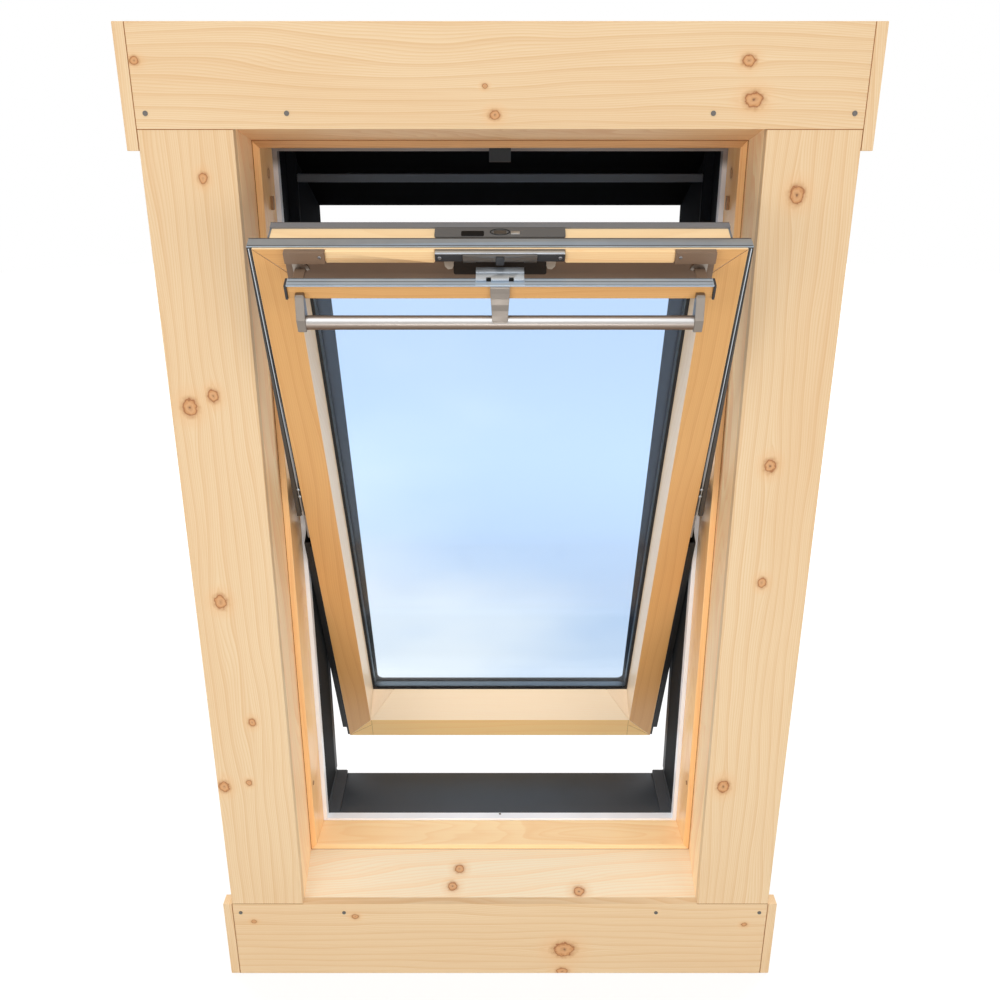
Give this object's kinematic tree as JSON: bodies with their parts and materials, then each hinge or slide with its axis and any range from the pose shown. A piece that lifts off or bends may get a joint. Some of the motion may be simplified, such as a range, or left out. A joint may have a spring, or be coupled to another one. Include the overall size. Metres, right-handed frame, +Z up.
{
  "type": "centre pivot roof window",
  "caption": "Centre-pivot roof window with pine frame, tilted glazed sash, top ventilation flap and control bar, dark outside covers and a pine room-side lining.",
  "frame": {"origin": "centre of the pattern of four holes in the side fixing brackets, on the brackets' seating face", "axes": "+X right seen from the room, +Y outward through the window, +Z up the slope in the window's plane"},
  "size_m": [1.012, 0.6086, 1.6315],
  "materials": {
    "raw_pine": "planed, unfinished",
    "lacquered_pine": "clear satin lacquer",
    "zinc_steel": "zinc plated",
    "bright_strip": "bright mill",
    "dark_cover": "matt powder coat",
    "satin_aluminium": "satin anodised",
    "seal_rubber": "matt",
    "spacer_metal": "mill",
    "clear_glass": "clear",
    "dark_plastic": "moulded",
    "taupe_plastic": "moulded"
  },
  "bodies": {
    "frame": {"reveal_left": "raw_pine", "reveal_right": "raw_pine", "reveal_top": "raw_pine", "sill": "raw_pine", "casing_top": "raw_pine", "casing_bottom": "raw_pine", "casing_left": "raw_pine", "casing_right": "raw_pine", "caps_top": "raw_pine", "caps_bottom": "raw_pine", "casing_screws": "zinc_steel", "frame_left": "lacquered_pine", "frame_right": "lacquered_pine", "frame_top": "lacquered_pine", "frame_bottom": "lacquered_pine", "edge_strip": "bright_strip", "cover_lower_left": "dark_cover", "cover_lower_right": "dark_cover", "cover_upper_left": "dark_cover", "cover_upper_right": "dark_cover", "hood": "dark_cover", "hood_bar": "dark_cover", "cover_bottom": "dark_cover", "corner_left": "dark_cover", "corner_right": "dark_cover", "fixing_brackets": "zinc_steel", "pivot_left": "zinc_steel", "pivot_right": "zinc_steel", "frame_catches": "dark_plastic"},
    "sash": {"sash_left": "lacquered_pine", "sash_right": "lacquered_pine", "sash_top": "lacquered_pine", "sash_bottom": "lacquered_pine", "glass_seal": "seal_rubber", "glass_inner": "clear_glass", "glass_spacer": "spacer_metal", "glass_outer": "clear_glass", "sash_cover": "dark_cover", "skirt_left": "dark_cover", "skirt_right": "dark_cover", "rail_left": "satin_aluminium", "rail_right": "satin_aluminium", "top_strip": "satin_aluminium", "slats": "lacquered_pine", "guide_covers": "taupe_plastic", "vent_channel": "taupe_plastic", "lock_case": "dark_plastic", "lock_body": "satin_aluminium", "hinge_left": "zinc_steel", "hinge_right": "zinc_steel"},
    "flap": {"flap_board": "lacquered_pine", "flap_trim": "satin_aluminium", "flap_ends": "dark_plastic", "saddle": "satin_aluminium", "buffers": "dark_plastic", "guides": "taupe_plastic", "control_bar": "satin_aluminium", "bar_arms": "satin_aluminium", "centre_arm": "satin_aluminium"},
    "bolt": {"lock_bolt": "zinc_steel"}
  },
  "joints": [
    {"name": "sash_pivot", "type": "hinge", "parent": "frame", "child": "sash", "pos_m": [0, 0.0194, 0.066], "axis": [1, 0, 0], "range_deg": [-24.9, 95]},
    {"name": "flap_slide", "type": "slide", "parent": "sash", "child": "flap", "axis": [0, -0.907, -0.421], "range_m": [-0.035, 0]},
    {"name": "bolt_slide", "type": "slide", "parent": "sash", "child": "bolt", "axis": [0, -0.421, 0.907], "range_m": [0, 0.03]}
  ],
  "couplings": [
    {"joint": "bolt_slide", "follows": "flap_slide", "ratio": -0.85714}
  ]
}
